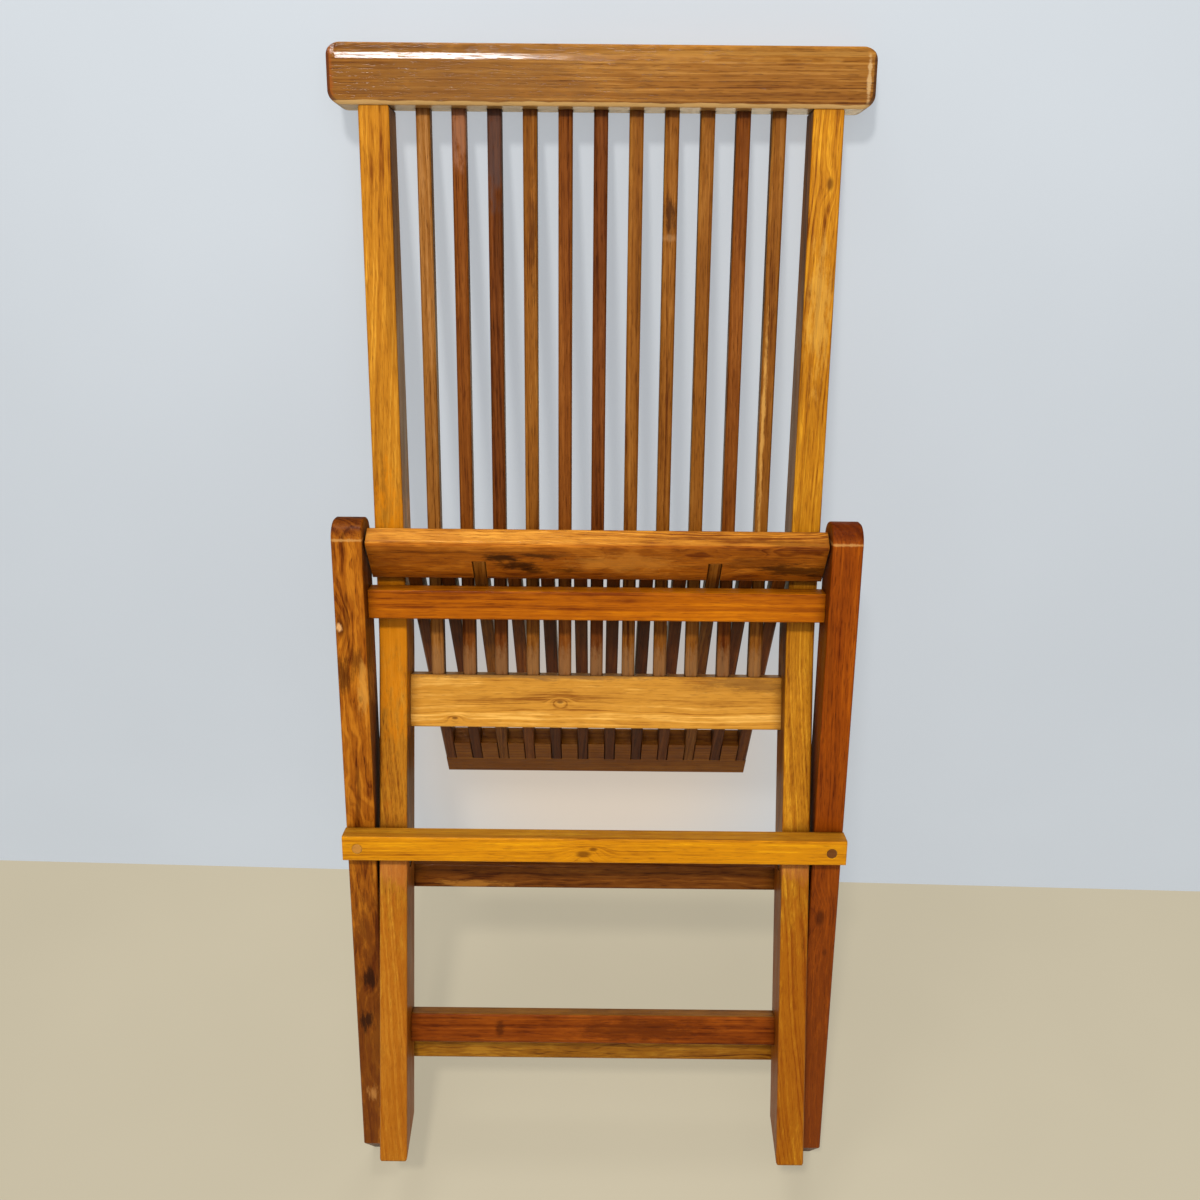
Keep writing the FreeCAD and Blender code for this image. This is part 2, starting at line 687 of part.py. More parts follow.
def seat_front_rail():
    """The front rail: sloping back, slat mortises and a pin hole in each end."""
    body = new_body("seat_front_rail", "seat", SEAT_FRAME)
    sketch = new_sketch(body, "YZ_Plane", "Section")
    outline(sketch, [
        ("-seat_front_edge", UNDER),
        (FRONT_RAIL_UNDER_BACK, UNDER),
        (FRONT_RAIL_TOP_BACK, TOP),
        ("-seat_front_edge", TOP),
    ])
    pad(body, sketch, SEAT_SPAN, symmetric=True)
    round_edges(body, lambda edge: runs_along(edge, ACROSS) and edge.CenterOfMass.y < 0,
                "seat_edge_round")

    sketch = new_sketch(body, "YZ_Plane", "SlatMortise", FIRST_SEAT_SLAT)
    rectangle(
        sketch,
        f"{TENON_TIP} - glue_gap",
        f"{FRONT_RAIL_UNDER_BACK} + glue_gap",
        f"-{TENON_TOP} - glue_gap",
        f"{TENON_TOP} + glue_gap",
    )
    cut = pocket(body, sketch, "slat_width + 2 * glue_gap", symmetric=True)
    repeat_across(body, cut, "seat_slat_count", "slat_pitch")
    for number in BEARERS:
        sketch = new_sketch(body, "YZ_Plane", "BearerHousing",
                            f"{FIRST_SEAT_SLAT} + {number - 1} * slat_pitch")
        rectangle(
            sketch,
            f"{TENON_TIP} - glue_gap",
            f"{FRONT_RAIL_UNDER_BACK} + edge_ease",
            f"{UNDER} - edge_ease",
            "0",
        )
        pocket(body, sketch, "slat_width + 2 * glue_gap", symmetric=True)
    for side in SIDES.values():
        sketch = new_sketch(body, "YZ_Plane", "PinHole", f"{side} * ({SEAT_SPAN} / 2 - pin_in_seat)")
        circle(sketch, "0", "0", "pin_diameter + 2 * glue_gap")
        pocket(body, sketch, "pin_in_seat + edge_ease", reverse=side > 0)


def seat_rear_rail():
    """The rear rail, with a housing in its underside for each slat."""
    body = new_body("seat_rear_rail", "seat", SEAT_FRAME)
    sketch = new_sketch(body, "YZ_Plane", "Section")
    rectangle(sketch, "seat_rear_rail_at", "seat_rear_rail_at + seat_rear_rail_width", UNDER, TOP)
    pad(body, sketch, "(seat_slat_count - 1) * slat_pitch + slat_width", symmetric=True)
    rear = SIZES["seat_rear_rail_at"] + SIZES["seat_rear_rail_width"] / 2
    round_edges(body, lambda edge: runs_along(edge, ACROSS) and edge.CenterOfMass.y > rear,
                "seat_edge_round")
    sketch = new_sketch(body, "YZ_Plane", "SlatHousing", FIRST_SEAT_SLAT)
    rectangle(
        sketch,
        "seat_rear_rail_at - edge_ease",
        f"{LAP_END} + glue_gap",
        f"{UNDER} - edge_ease",
        "glue_gap",
    )
    cut = pocket(body, sketch, "slat_width + 2 * glue_gap", symmetric=True)
    repeat_across(body, cut, "seat_slat_count", "slat_pitch")


def seat_hinge_pins():
    """A pin at each front corner of the seat, fast in the rail and turning in the leg."""
    rods = []
    start = LEG_INNER - SIZES["seat_side_gap"] - SIZES["pin_in_seat"]
    for side in SIDES.values():
        at_start = SEAT_FRAME * moved(side * start) * OUTWARD[side]
        rods.append(round_rod("pin", "pin_diameter / 2",
                              "pin_in_seat + seat_side_gap + pin_in_leg", at_start))
    group_of("seat_hinge_pins", "seat", rods)


def build():
    for word, side in SIDES.items():
        stile(f"{word}_stile", side)
    crest_rail()
    for number in range(1, int(SIZES["back_slat_count"]) + 1):
        back_slat(number)
    lower_back_rail()
    front_stretcher()

    for word, side in SIDES.items():
        leg(f"{word}_leg", side)
    cross_rail("upper_leg_rail", "leg_frame", LEG_FRAME, LEG_SPAN, UPPER_RAIL, tenon_of(UPPER_RAIL))
    cross_rail("rear_stretcher", "leg_frame", LEG_FRAME, LEG_SPAN, REAR_STRETCHER,
               tenon_of(REAR_STRETCHER))
    pegged_bar("front_bar", 1)
    pegged_bar("rear_bar", -1)
    bar_pegs("front_bar_pegs", 1)
    bar_pegs("rear_bar_pegs", -1)
    pivot_hardware()

    seat_front_rail()
    for number in range(1, int(SIZES["seat_slat_count"]) + 1):
        seat_slat(number)
    seat_rear_rail()
    seat_hinge_pins()
    doc.recompute()


def set_on_floor():
    """Move the whole chair so that the floor is z = 0 and its box is centred."""
    box = FreeCAD.BoundBox()
    for group in pieces.values():
        for piece in group:
            box.add(piece.Shape.optimalBoundingBox())
    shift = moved(y=-(box.YMin + box.YMax) / 2, z=-box.ZMin)
    for group in pieces.values():
        for piece in group:
            piece.Placement = shift * piece.Placement
    doc.recompute()
    return shift


def check_and_write():
    for item in doc.Objects:
        if "Invalid" in item.State or "Error" in item.State:
            raise ValueError(f"{item.Label} failed: {item.State}")
    os.makedirs("parts", exist_ok=True)
    for group in pieces.values():
        for piece in group:
            if piece.Shape.isNull() or not piece.Shape.isValid():
                raise ValueError(f"{piece.Label} has no valid shape")
            piece.Shape.exportStep(f"parts/{piece.Label}.step")


def say(name, point):
    print(name, [round(value / 1000, 6) for value in point])


build()
SHIFT = set_on_floor()
check_and_write()
say("fold pivot", (SHIFT * LEG_FRAME).Base)
say("seat hinge", (SHIFT * SEAT_FRAME).Base)
print("stile foot angle", round(DERIVED["stile_foot_angle"], 3),
      "leg foot angle", round(DERIVED["leg_foot_angle"], 3))
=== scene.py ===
import json
import math

import bpy
from mathutils import Matrix, Vector

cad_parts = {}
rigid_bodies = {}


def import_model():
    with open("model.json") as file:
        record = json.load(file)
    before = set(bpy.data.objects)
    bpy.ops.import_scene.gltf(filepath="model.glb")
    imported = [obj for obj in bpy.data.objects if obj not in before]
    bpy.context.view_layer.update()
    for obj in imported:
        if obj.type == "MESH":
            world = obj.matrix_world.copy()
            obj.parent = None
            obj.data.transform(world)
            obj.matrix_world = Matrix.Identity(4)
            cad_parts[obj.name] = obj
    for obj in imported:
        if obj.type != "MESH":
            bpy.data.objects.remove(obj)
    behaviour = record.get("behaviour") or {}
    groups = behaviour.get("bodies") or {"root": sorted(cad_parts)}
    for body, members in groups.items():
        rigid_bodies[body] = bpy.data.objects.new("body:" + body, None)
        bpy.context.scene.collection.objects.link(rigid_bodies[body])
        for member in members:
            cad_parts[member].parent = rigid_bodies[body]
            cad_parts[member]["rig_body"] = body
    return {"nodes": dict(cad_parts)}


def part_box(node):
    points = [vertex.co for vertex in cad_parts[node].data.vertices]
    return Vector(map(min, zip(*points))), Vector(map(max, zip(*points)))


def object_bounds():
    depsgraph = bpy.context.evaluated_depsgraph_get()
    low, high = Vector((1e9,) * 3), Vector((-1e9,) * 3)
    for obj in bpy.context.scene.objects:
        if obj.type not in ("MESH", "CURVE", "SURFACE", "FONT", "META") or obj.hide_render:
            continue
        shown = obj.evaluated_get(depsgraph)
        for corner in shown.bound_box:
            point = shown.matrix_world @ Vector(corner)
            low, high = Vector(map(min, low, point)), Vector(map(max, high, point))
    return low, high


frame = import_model()
CAD_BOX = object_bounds()
NODES = frame["nodes"]
scene = bpy.context.scene
scene.view_settings.view_transform = "Standard"


# Camera. Metres and degrees, and millimetres for its lens and sensor.

CAMERA_PLACE = Vector((0.0041, -0.8346, 1.1558))
CAMERA_DOWN = 33.82
CAMERA_LEFT = 0.08
CAMERA_ROLL = 0.52
CAMERA_LENS = 34.43
SENSOR = 36.0


def add_camera():
    """The photograph's camera: looking along +Y and down, with a slight roll."""
    data = bpy.data.cameras.new("Camera")
    data.sensor_width = SENSOR
    data.lens = CAMERA_LENS
    camera = bpy.data.objects.new("Camera", data)
    scene.collection.objects.link(camera)
    scene.camera = camera
    turn = Matrix.Rotation(math.radians(CAMERA_LEFT), 4, "Z")
    pitch = Matrix.Rotation(math.radians(90 - CAMERA_DOWN), 4, "X")
    roll = Matrix.Rotation(math.radians(CAMERA_ROLL), 4, "Z")
    camera.matrix_world = Matrix.Translation(CAMERA_PLACE) @ turn @ pitch @ roll


# Colours are written as the screen shows them, from 0 to 255.

def tone(red, green, blue):
    """A screen colour as linear RGBA, by the sRGB formula."""
    linear = []
    for value in (red, green, blue):
        share = value / 255
        if share <= 0.04045:
            linear.append(share / 12.92)
        else:
            linear.append(((share + 0.055) / 1.055) ** 2.4)
    return (*linear, 1.0)


def scaled_tone(colour, shares):
    """A screen colour with each channel scaled, as linear RGBA."""
    return tone(*(min(value * share, 255) for value, share in zip(colour, shares)))


class Graph:
    """Adds nodes to a shader tree. An input may be a socket or a plain value."""

    def __init__(self, tree):
        self.tree = tree

    def join(self, value, socket):
        if isinstance(value, bpy.types.NodeSocket):
            self.tree.links.new(value, socket)
        else:
            socket.default_value = value

    def fill(self, node, inputs):
        for key, value in inputs.items():
            self.join(value, node.inputs[key])

    def add(self, kind, inputs=(), output=0, **settings):
        node = self.tree.nodes.new(kind)
        for name, value in settings.items():
            setattr(node, name, value)
        self.fill(node, dict(inputs))
        return node.outputs[output]

    def math(self, operation, *values, clamp=False):
        return self.add("ShaderNodeMath", enumerate(values), operation=operation, use_clamp=clamp)

    def total(self, *values):
        result = values[0]
        for value in values[1:]:
            result = self.math("ADD", result, value)
        return result

    def vector(self, operation, first, second, output=0):
        return self.add("ShaderNodeVectorMath", {0: first, 1: second}, output, operation=operation)

    def dot(self, first, second):
        return self.vector("DOT_PRODUCT", first, second, output=1)

    def length(self, vector):
        return self.add("ShaderNodeVectorMath", {0: vector}, output=1, operation="LENGTH")

    def coordinate(self, vector, axis):
        """A vector's X, Y or Z, for axis 0, 1 or 2."""
        return self.add("ShaderNodeSeparateXYZ", {0: vector}, output=axis)

    def noise(self, vector, fineness, detail=2.0, roughness=0.5):
        """Noise about zero, mostly from -0.2 to 0.2. Its fineness is in cycles per metre."""
        value = self.add("ShaderNodeTexNoise", {
            "Vector": self.vector("MULTIPLY", vector, fineness),
            "Scale": 1.0,
            "Detail": detail,
            "Roughness": roughness,
        })
        return self.math("SUBTRACT", value, 0.5)

    def between(self, value, low, high, end=1.0):
        """Goes smoothly from 0, where the value is low, to end, where it is high."""
        inputs = {"Value": value, "From Min": low, "From Max": high, "To Max": end}
        return self.add("ShaderNodeMapRange", inputs, interpolation_type="SMOOTHSTEP")

    def mix(self, factor, first, second, blend="MIX"):
        """Mixes colours, which the node takes in its sockets 6 and 7."""
        inputs = {0: factor, 6: first, 7: second}
        return self.add("ShaderNodeMix", inputs, 2, data_type="RGBA", blend_type=blend)

    def mix_vectors(self, factor, first, second):
        """Mixes vectors, which the node takes in its sockets 4 and 5."""
        inputs = {0: factor, 4: first, 5: second}
        return self.add("ShaderNodeMix", inputs, 1, data_type="VECTOR")

    def times(self, colour, shares):
        return self.mix(1.0, colour, (*shares, 1.0), blend="MULTIPLY")


def new_material(name):
    """A material, a graph on its tree, and its shader."""
    material = bpy.data.materials.new(name)
    material.use_nodes = True
    tree = material.node_tree
    return material, Graph(tree), tree.nodes["Principled BSDF"]


def dress(node, material):
    node.data.materials.clear()
    node.data.materials.append(material)


# Teak. One node group draws the grain of a board. The fineness of each noise in it is given
# along the board, across it and through it.

SLOW_BENDS = (3.0, 9.0, 9.0)
QUICK_BENDS = (17.0, 40.0, 40.0)
FIBRES = (16.0, 620.0, 620.0)
MOTTLES = (34.0, 110.0, 110.0)
CLOUDS = (4.5, 16.0, 16.0)
PORES = (75.0, 1200.0, 1200.0)
STREAKS = (2.6, 90.0, 90.0)

# How much each of these makes the wood paler, or darker below zero.
BAND_WEIGHT = 0.55
LATE_WEIGHT = -0.26
FIBRE_WEIGHT = 1.2
CLOUD_WEIGHT = 1.5

# The shade of wood where all of these are at zero.
MIDDLE_SHADE = 0.55

# Only the end of a ring is dark late wood, the more so the higher this is.
LATE_SHARPNESS = 4.0

# Palest wood stands this much above darkest wood, where a pore is 1 deep.
SHADE_RELIEF = 0.35

# Noise starts to show at the first value, and shows in full from the second.
PORE_LIMITS = (0.07, 0.17)
STREAK_LIMITS = (0.07, 0.2)
PATCH_LIMITS = (-0.1, 0.15)

# A pore's and a streak's light, as shares of that of the wood round it.
PORE_SHARE = (0.34, 0.25, 0.22)
STREAK_SHARE = (0.34, 0.28, 0.25)

# How far one unit of seed moves a board through the noise, in metres, so that boards differ.
SEED_STEP_ACROSS = 0.37
SEED_STEP_THROUGH = 0.61

GRAIN_INPUTS = {
    "Vector": ("Place", "Pith"),
    "Color": ("Deep", "Mid", "Pale"),
    "Float": ("Seed", "Rings", "Slope", "Wander", "Contrast", "Mottle", "Pores", "Streaks", "Knot"),
}

# What a board has when its call doesn't say otherwise. Rings are per metre, and the pith's
# place is in metres from the board's middle.
GRAIN = {
    "Pith": (0.0, 0.10, 0.07),
    "Rings": 330.0,
    "Slope": 0.006,
    "Wander": 0.007,
    "Contrast": 0.8,
    "Mottle": 0.8,
    "Pores": 0.6,
    "Streaks": 0.25,
}


def grain_sockets(tree):
    """Gives the group its sockets. Returns those that a board fills."""
    for kind, names in GRAIN_INPUTS.items():
        for name in names:
            tree.interface.new_socket(name, in_out="INPUT", socket_type=f"NodeSocket{kind}")
    for kind, name in (("Color", "Colour"), ("Float", "Height")):
        tree.interface.new_socket(name, in_out="OUTPUT", socket_type=f"NodeSocket{kind}")
    return tree.nodes.new("NodeGroupInput").outputs


def seeded_place(g, given):
    """The place on the board, moved on by the seed. Along the board one unit is a metre."""
    shift = g.add("ShaderNodeCombineXYZ", {
        "X": given["Seed"],
        "Y": g.math("MULTIPLY", given["Seed"], SEED_STEP_ACROSS),
        "Z": g.math("MULTIPLY", given["Seed"], SEED_STEP_THROUGH),
    })
    return g.vector("ADD", given["Place"], shift)


def board_bend(g, given, place):
    """How far the rings wander off their course."""
    slow = g.noise(place, SLOW_BENDS, detail=1.0)
    quick = g.noise(place, QUICK_BENDS)
    return g.math("MULTIPLY", g.math("MULTIPLY_ADD", quick, 0.25, slow), given["Wander"])


def ring_count(g, given, bend):
    """How many rings lie between the pith and a place on the board."""
    from_pith = g.vector("SUBTRACT", given["Place"], given["Pith"])
    radius = g.length(g.vector("MULTIPLY", from_pith, (0.0, 1.0, 1.0)))
    climb = g.math("MULTIPLY", g.coordinate(given["Place"], 0), given["Slope"])
    reach = g.total(radius, bend, climb, given["Knot"])
    return g.math("MULTIPLY", reach, given["Rings"])


def wood_shade(g, given, place, count, late):
    """From 0 for the darkest wood to 1 for the palest, without pores and streaks."""
    bands = g.add("ShaderNodeTexNoise", {
        "W": g.math("ADD", count, given["Seed"]),
        "Scale": 0.8,
        "Detail": 4.0,
        "Roughness": 0.7,
    }, noise_dimensions="1D")
    bands = g.math("SUBTRACT", g.between(bands, 0.3, 0.7), 0.5)
    fibre = g.noise(place, FIBRES, detail=3.0, roughness=0.65)
    mottle = g.noise(place, MOTTLES, detail=3.0, roughness=0.6)
    cloud = g.noise(place, CLOUDS)
    swing = g.total(
        g.math("MULTIPLY", bands, BAND_WEIGHT),
        g.math("MULTIPLY", late, LATE_WEIGHT),
        g.math("MULTIPLY", fibre, FIBRE_WEIGHT),
        g.math("MULTIPLY", mottle, given["Mottle"]),
        g.math("MULTIPLY", cloud, CLOUD_WEIGHT),
    )
    return g.math("MULTIPLY_ADD", swing, given["Contrast"], MIDDLE_SHADE, clamp=True)


def pore_mask(g, given, place, late):
    """Short fine dashes, more of them in late wood."""
    pores = g.between(g.noise(place, PORES, detail=1.0), *PORE_LIMITS)
    pores = g.math("MULTIPLY", pores, g.math("MULTIPLY_ADD", late, 0.5, 0.7))
    return g.math("MULTIPLY", pores, given["Pores"], clamp=True)


def streak_mask(g, given, place, bend):
    """Long dark lines that bend with the rings."""
    course = g.vector("ADD", place, g.add("ShaderNodeCombineXYZ", {"Y": bend, "Z": bend}))
    streaks = g.between(g.noise(course, STREAKS, detail=3.0, roughness=0.6), *STREAK_LIMITS)
    return g.math("MULTIPLY", streaks, given["Streaks"], clamp=True)


def grain_group():
    """Growth rings round a pith beside the board, fibres, pores and dark mineral streaks."""
    tree = bpy.data.node_groups.new("teak_grain", "ShaderNodeTree")
    given = grain_sockets(tree)
    g = Graph(tree)
    place = seeded_place(g, given)
    bend = board_bend(g, given, place)
    count = ring_count(g, given, bend)
    late = g.math("POWER", g.math("FRACT", count), LATE_SHARPNESS)
    shade = wood_shade(g, given, place, count, late)
    lower = g.mix(g.between(shade, 0.0, 0.5), given["Deep"], given["Mid"])
    colour = g.mix(g.between(shade, 0.5, 1.0), lower, given["Pale"])
    pores = pore_mask(g, given, place, late)
    colour = g.mix(pores, colour, g.times(colour, PORE_SHARE))
    streaks = streak_mask(g, given, place, bend)
    colour = g.mix(streaks, colour, g.times(given["Deep"], STREAK_SHARE))
    height = g.math("SUBTRACT", g.math("MULTIPLY", shade, SHADE_RELIEF), pores)
    g.fill(tree.nodes.new("NodeGroupOutput"), {"Colour": colour, "Height": height})
    return tree


# How far the cross bars of each body lean from upright. The crest follows the bent top.

LOWER_BACK_LEAN = math.radians(30.6)
UPPER_BACK_LEAN = math.radians(19.2)
LEG_LEAN = math.radians(18.1)
SEAT_LEAN = math.radians(-20.0)
BAR_LEAN = {"back_frame": LOWER_BACK_LEAN, "leg_frame": LEG_LEAN, "seat": SEAT_LEAN}

# A board that is wider than this lies from side to side.
WIDE = 0.2


def board_frame(node):
    """Middle of a board, and its axes: along its length, across it and through it."""
    low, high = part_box(node.name)
    if high.x - low.x > WIDE:
        lean = BAR_LEAN[node["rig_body"]]
        if node.name == "crest_rail":
            lean = UPPER_BACK_LEAN
        length = Vector((1, 0, 0))
        across = Vector((0, math.sin(lean), math.cos(lean)))
    else:
        points = [vertex.co for vertex in node.data.vertices]
        top = max(points, key=lambda point: point.z)
        foot = min(points, key=lambda point: point.z)
        length = Vector((0, top.y - foot.y, top.z - foot.z)).normalized()
        across = Vector((1, 0, 0))
    through = length.cross(across)
    return (low + high) / 2, Matrix((length, across, through)).transposed()


def board_place(g, middle, axes):
    """A point's place on the board, in metres from its middle along its axes."""
    return g.add("ShaderNodeMapping", {
        "Vector": g.add("ShaderNodeTexCoord", output="Object"),
        "Location": middle,
        "Rotation": axes.to_euler(),
    }, vector_type="TEXTURE")


# A board's darkest and palest wood, and the hearts of its knots, as shares of its middle tone.
DEEP_SHARE = (0.66, 0.52, 0.25)
PALE_SHARE = (1.20, 1.32, 1.90)
HEART_SHARE = (0.42, 0.28, 0.20)
HEART_STRENGTH = 0.7


def draw_grain(g, place, push, mid, seed, grain):
    """The board's own grain: its colour, and its height for the relief."""
    board = g.tree.nodes.new("ShaderNodeGroup")
    board.node_tree = GRAIN_GROUP
    g.fill(board, {**GRAIN, **grain})
    g.fill(board, {"Place": place, "Seed": seed, "Knot": push})
    g.fill(board, {
        "Deep": scaled_tone(mid, DEEP_SHARE),
        "Mid": tone(*mid),
        "Pale": scaled_tone(mid, PALE_SHARE),
    })
    return board.outputs["Colour"], board.outputs["Height"]


# A knot pushes the rings aside by this many of its half widths, and less with the distance.
KNOT_PUSH = 1.5
KNOT_FADE = -0.3
HEART_LIMITS = (0.9, 0.3)


def add_knots(g, place, knots):
    """How far the knots push the rings aside, and where their dark hearts lie.

    A knot has its place along and across the board, and half its width. It is twice as long.
    """
    push, heart = 0.0, 0.0
    for along, across, size in knots:
        step = g.vector("ADD", place, (-along, -across, 0.0))
        reach = g.length(g.vector("MULTIPLY", step, (0.5 / size, 1.0 / size, 0.0)))
        squared = g.math("MULTIPLY", reach, reach)
        swell = g.math("EXPONENT", g.math("MULTIPLY", squared, KNOT_FADE))
        push = g.math("MULTIPLY_ADD", swell, KNOT_PUSH * size, push)
        heart = g.math("MAXIMUM", g.between(reach, *HEART_LIMITS), heart)
    return push, heart


# Distances from a patch's middle, in its half widths, where it starts and where it is full.
# This noise, times this factor, makes its outline ragged.
PATCH_EDGE_LIMITS = (1.2, 0.3)
PATCH_EDGE_NOISE = (45.0, 170.0, 170.0)
PATCH_EDGE_RAGGED = 3.4


def add_stains_and_highlights(g, place, colour, stains_and_highlights):
    """Soft-edged patches, stains and some painted highlights: along, across, half length, half width,
    colour and strength.
    """
    ragged = g.noise(place, PATCH_EDGE_NOISE, detail=5.0, roughness=0.75)
    ragged = g.math("MULTIPLY", ragged, PATCH_EDGE_RAGGED)
    for along, across, half_length, half_width, patch_tone, strength in stains_and_highlights:
        step = g.vector("ADD", place, (-along, -across, 0.0))
        step = g.vector("MULTIPLY", step, (1.0 / half_length, 1.0 / half_width, 0.0))
        mask = g.between(g.math("ADD", g.length(step), ragged), *PATCH_EDGE_LIMITS)
        colour = g.mix(g.math("MULTIPLY", mask, strength), colour, tone(*patch_tone))
    return colour


# A band wavers by this noise times this reach, and its edges are this soft.
BAND_NOISE = (28.0, 0.0, 0.0)
BAND_WAVER = 0.004
BAND_BLUR = 0.0005


def add_bands(g, place, colour, bands):
    """Lines that run along a whole board: from and to across it, colour and strength."""
    waver = g.noise(place, BAND_NOISE, detail=3.0)
    across = g.math("MULTIPLY_ADD", waver, BAND_WAVER, g.coordinate(place, 1))
    for low, high, patch_tone, strength in bands:
        above = g.between(across, low - BAND_BLUR, low)
        below = g.between(across, high + BAND_BLUR, high)
        mask = g.math("MULTIPLY", above, below)
        colour = g.mix(g.math("MULTIPLY", mask, strength), colour, tone(*patch_tone))
    return colour


# A flank is painted lighter or darker than the broad face, as light and shade fall on it. It
# has the broad face's light times a share for each channel. That share is the ratio of their
# screen values to this power. The broad face's value counts as no less than the second number
# here, and the share as no more than the third.
SCREEN_POWER = 2.2
LEAST_CHANNEL = 12
MOST_LIGHT = 3.0

# A surface begins to count as a flank or an end where it faces that way by the first value,
# and counts in full from the second. Both are cosines.
FLANK_FACING = (0.75, 0.95)
END_FACING = (0.05, 0.6)

# End grain is redder than the faces: these powers dim green and blue further.
END_POWERS = (1.0, 1.3, 1.6)


def paint_flank_light_and_shade(g, colour, facing, across, mid, flank):
    """Paints light and shade on a board's narrow faces: their tone stands for how light falls on
    them.
    """
    shares = (side / max(face, LEAST_CHANNEL) for side, face in zip(flank, mid))
    shares = [min(share ** SCREEN_POWER, MOST_LIGHT) for share in shares]
    sideways = g.math("ABSOLUTE", g.dot(facing, across))
    return g.mix(g.between(sideways, *FLANK_FACING), colour, g.times(colour, shares))


def darken_ends(g, colour, facing, length, ends):
    """Darkens the end grain to a share, ends, of the light of the faces."""
    endways = g.math("ABSOLUTE", g.dot(facing, length))
    end_grain = g.times(colour, tuple(ends ** power for power in END_POWERS))
    return g.mix(g.between(endways, *END_FACING), colour, end_grain)


# Grime and painted shade sit where wood within this reach shuts out the light. They start
# at the first openness and are full from the second down.
CREASE_REACH = 0.018
CREASE_OPENNESS = (0.9, 0.25)
GRIME_AND_SHADE_STRENGTH = 0.9
GRIME_AND_SHADE_SHARE = (0.26, 0.18, 0.12)

# Edges look rounded by this radius. Their pale paint, part rubbed wear and part painted
# highlight, starts where the rounding turns the surface from its face by the first of these
# cosines, and is full at the second.
EDGE_REACH = 0.0016
EDGE_TURN = (0.995, 0.90)
GLINT_AND_WEAR_NOISE = (60.0, 60.0, 60.0)


def shade_and_grime_creases(g, colour):
    """Grime and painted shade in joints, recesses and narrow gaps."""
    openness = g.add("ShaderNodeAmbientOcclusion", {"Distance": CREASE_REACH}, output="AO", samples=8)
    grime_and_shade = g.math("MULTIPLY", g.between(openness, *CREASE_OPENNESS), GRIME_AND_SHADE_STRENGTH)
    return g.mix(grime_and_shade, colour, g.times(colour, GRIME_AND_SHADE_SHARE))


def paint_edge_glint_and_wear(g, place, colour, eased, mid, edge_glint_and_wear):
    """Paints the edges pale in patches, as rubbed wear and as painted highlight."""
    face = g.add("ShaderNodeNewGeometry", output="Normal")
    edge = g.between(g.dot(eased, face), *EDGE_TURN)
    pale_edge = g.math("MULTIPLY", edge, g.between(g.noise(place, GLINT_AND_WEAR_NOISE), *PATCH_LIMITS))
    return g.mix(g.math("MULTIPLY", pale_edge, edge_glint_and_wear), colour, scaled_tone(mid, PALE_SHARE))


# The crest's planed top edge: a narrow flat that mirrors the ceiling lamp, and a higher one.
CREST_FACETS = [(0.0105, 0.0158, 46.0), (0.0158, 0.0240, 70.0)]
FACET_BLUR = 0.001

# The flats lie on the front of the board and stop short of its ends.
FACET_DEPTHS = (0.004, 0.006)
FACET_ENDS = (0.2190, 0.2170)


def add_facets(g, place, normal, facets):
    """Planed flats along a board's front: from and to across it, and degrees that each faces up."""
    along = g.math("ABSOLUTE", g.coordinate(place, 0))
    height = g.coordinate(place, 1)
    front = g.between(g.coordinate(place, 2), *FACET_DEPTHS)
    front = g.math("MULTIPLY", front, g.between(along, *FACET_ENDS))
    for low, high, rise in facets:
        inside = g.math("MULTIPLY", g.between(height, low, low + FACET_BLUR), front)
        inside = g.math("MULTIPLY", inside, g.between(height, high, high - FACET_BLUR))
        facing = (0.0, -math.cos(math.radians(rise)), math.sin(math.radians(rise)))
        coded = (*(0.5 + 0.5 * value for value in facing), 1.0)
        flat = g.add("ShaderNodeNormalMap", {"Color": coded}, space="OBJECT")
        normal = g.mix_vectors(inside, normal, flat)
    return normal


# The sheen of oiled wood, in patches.
ROUGHNESS = 0.42
ROUGHNESS_SWING = 0.35
ROUGHNESS_NOISE = (14.0, 90.0, 90.0)


def polish(g, shader, place, colour, height, normal, coat, coat_ior):
    """Joins a board's colour, sheen and fine relief to its shader, under a coat of oil."""
    sheen = g.noise(place, ROUGHNESS_NOISE)
    relief = g.add("ShaderNodeBump", {
        "Strength": 0.4,
        "Distance": 0.0006,
        "Height": height,
        "Normal": normal,
    })
    g.fill(shader, {
        "Base Color": colour,
        "Roughness": g.math("MULTIPLY_ADD", sheen, ROUGHNESS_SWING, ROUGHNESS),
        "Normal": relief,
        "Specular IOR Level": 0.12,
        "Coat Weight": coat,
        "Coat Roughness": 0.12,
        "Coat IOR": coat_ior,
        "Coat Normal": relief,
    })


